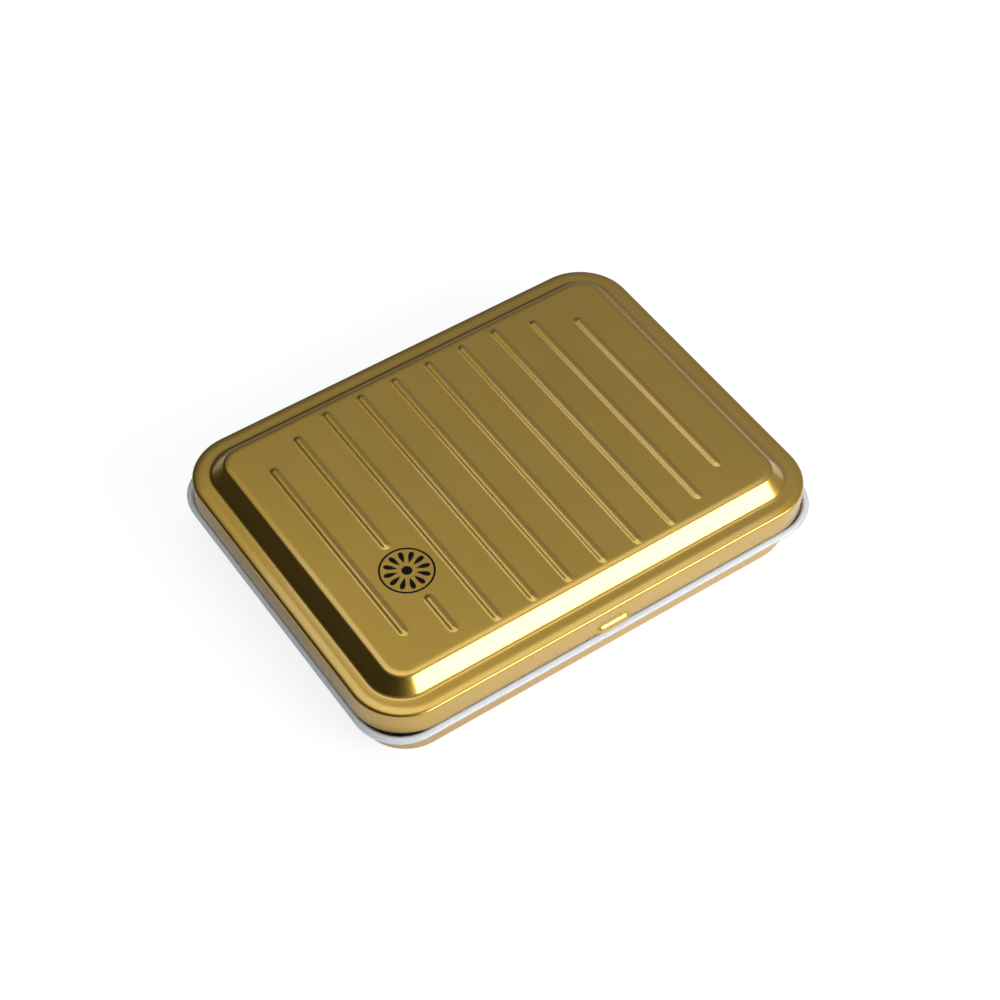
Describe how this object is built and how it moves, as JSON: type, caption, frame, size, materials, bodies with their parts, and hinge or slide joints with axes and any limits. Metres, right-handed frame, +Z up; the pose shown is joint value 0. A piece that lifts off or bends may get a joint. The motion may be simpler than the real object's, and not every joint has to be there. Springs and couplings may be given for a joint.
{
  "type": "watercolour paint tin",
  "caption": "Flat hinged tin in gold-lacquered tinplate with a ribbed raised lid, spring rails of half pans inside and a folding thumb ring in the underside.",
  "frame": {"origin": "middle of the bounding box's bottom face, on the face that the tin stands on", "axes": "+X along the long side, +Z up through the lid, -Y towards the front with the finger lip"},
  "size_m": [0.1218, 0.0934, 0.0228],
  "materials": {
    "gold_tinplate": "satin gold lacquer outside, gloss white enamel inside",
    "rail_tinplate": "bare tinplate, satin",
    "pin_wire": "drawn steel wire",
    "plated_steel": "nickel-plated, lightly worn",
    "pan_plastic": "white moulded plastic",
    "paint_lemon_yellow": "dried cake of watercolour, satin",
    "paint_cadmium_orange": "dried cake of watercolour, satin",
    "paint_scarlet": "dried cake of watercolour, satin",
    "paint_carmine": "dried cake of watercolour, satin",
    "paint_ultramarine": "dried cake of watercolour, satin",
    "paint_cerulean": "dried cake of watercolour, satin",
    "paint_emerald": "dried cake of watercolour, satin",
    "paint_sap_green": "dried cake of watercolour, satin",
    "paint_yellow_ochre": "dried cake of watercolour, satin",
    "paint_burnt_sienna": "dried cake of watercolour, satin",
    "paint_burnt_umber": "dried cake of watercolour, satin",
    "paint_ivory_black": "dried cake of watercolour, satin"
  },
  "bodies": {
    "base": {"base_shell": "gold_tinplate", "half_pan_back_1": "pan_plastic", "half_pan_back_2": "pan_plastic", "half_pan_back_3": "pan_plastic", "half_pan_back_4": "pan_plastic", "half_pan_back_5": "pan_plastic", "half_pan_back_6": "pan_plastic", "half_pan_front_1": "pan_plastic", "half_pan_front_2": "pan_plastic", "half_pan_front_3": "pan_plastic", "half_pan_front_4": "pan_plastic", "half_pan_front_5": "pan_plastic", "half_pan_front_6": "pan_plastic", "hinge_pin_left": "pin_wire", "hinge_pin_right": "pin_wire", "paint_back_1": "paint_emerald", "paint_back_2": "paint_sap_green", "paint_back_3": "paint_yellow_ochre", "paint_back_4": "paint_burnt_sienna", "paint_back_5": "paint_burnt_umber", "paint_back_6": "paint_ivory_black", "paint_front_1": "paint_lemon_yellow", "paint_front_2": "paint_cadmium_orange", "paint_front_3": "paint_scarlet", "paint_front_4": "paint_carmine", "paint_front_5": "paint_ultramarine", "paint_front_6": "paint_cerulean", "pan_rail_back": "rail_tinplate", "pan_rail_front": "rail_tinplate", "strap_rivets": "plated_steel", "thumb_ring_strap": "plated_steel"},
    "lid": {"lid_shell": "gold_tinplate"},
    "thumb_ring": {"thumb_ring": "plated_steel"}
  },
  "joints": [
    {"name": "lid_hinge", "type": "hinge", "parent": "base", "child": "lid", "pos_m": [0, 0.0458, 0.0107], "axis": [-1, 0, 0], "range_deg": [0, 172]},
    {"name": "thumb_ring_hinge", "type": "hinge", "parent": "base", "child": "thumb_ring", "pos_m": [0.009, 0, 0.00205], "axis": [0, -1, 0], "range_deg": [0, 90]}
  ]
}
